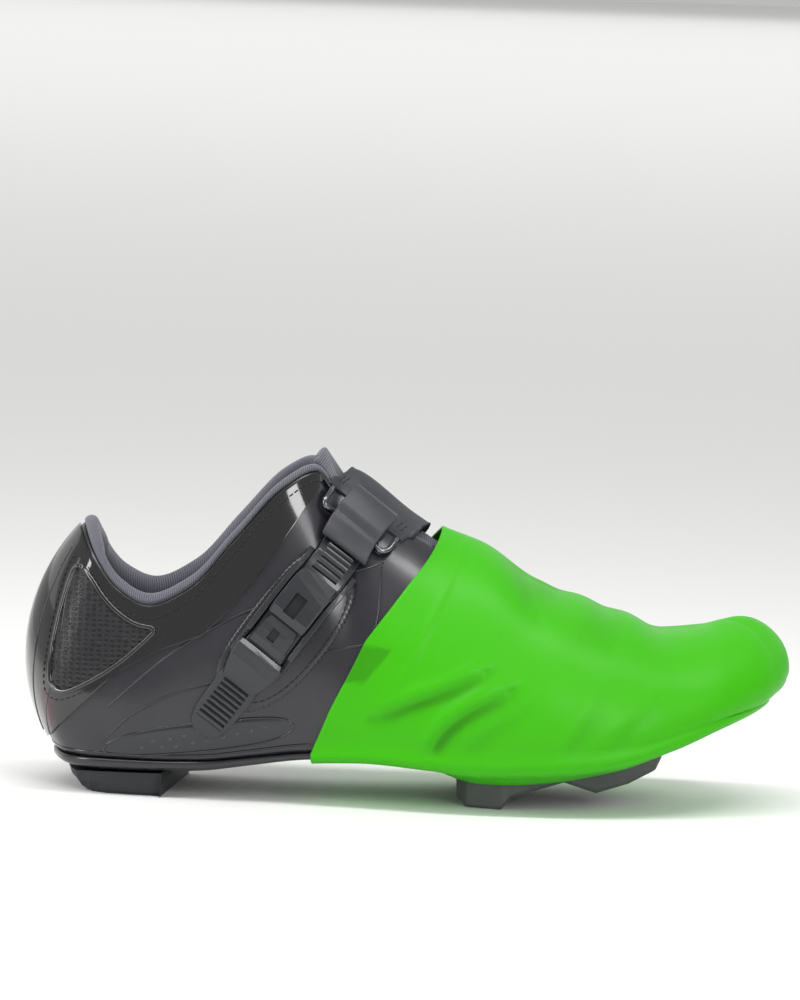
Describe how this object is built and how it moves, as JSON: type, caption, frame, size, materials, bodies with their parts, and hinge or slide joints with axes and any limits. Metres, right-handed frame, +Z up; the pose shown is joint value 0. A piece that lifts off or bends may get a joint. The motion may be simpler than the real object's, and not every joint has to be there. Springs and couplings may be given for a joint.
{
  "type": "cycling shoe with toe cover",
  "caption": "Right road cycling shoe with a latex toe cover stretched over its front, an instep strap with a ratchet buckle, a stiff sole, a heel pad and a bolted cleat",
  "frame": {"origin": "On the floor, under the middle of the shoe", "axes": "+X points to the toe, +Z up, -Y to the outer side; the shoe stands on its heel pad and its cleat"},
  "size_m": [0.286, 0.0983, 0.1294],
  "materials": {
    "microfibre": "satin dark grey synthetic leather",
    "patent": "glossy black patent coating",
    "knit": "grey ribbed knit over foam",
    "mesh": "coarse black mesh",
    "strap": "matte dark grey",
    "buckle_plastic": "moulded dark grey",
    "ring_metal": "dark polished wire",
    "sole_composite": "black fibre composite",
    "heel_rubber": "matte black",
    "cleat_plastic": "scuffed dark grey",
    "bolt_steel": "plated steel",
    "insole_fabric": "dark woven top",
    "latex": "satin bright green latex"
  },
  "bodies": {
    "root": {"upper": "microfibre", "collar_lining": "knit", "tongue": "knit", "outsole": "sole_composite", "insole": "insole_fabric", "heel_pad": "heel_rubber", "cleat": "cleat_plastic", "cleat_bolt_front": "bolt_steel", "cleat_bolt_outer": "bolt_steel", "cleat_bolt_inner": "bolt_steel", "heel_counter": "patent", "mesh_panel_outer": "mesh", "mesh_panel_inner": "mesh", "toe_cover": "latex", "instep_strap": "strap", "strap_ring": "ring_metal", "buckle_patch": "microfibre", "ratchet_link": "strap", "ratchet_strap": "buckle_plastic", "buckle_base": "buckle_plastic", "buckle_lever": "buckle_plastic", "buckle_pawl": "buckle_plastic", "buckle_catch": "buckle_plastic"}
  },
  "joints": []
}
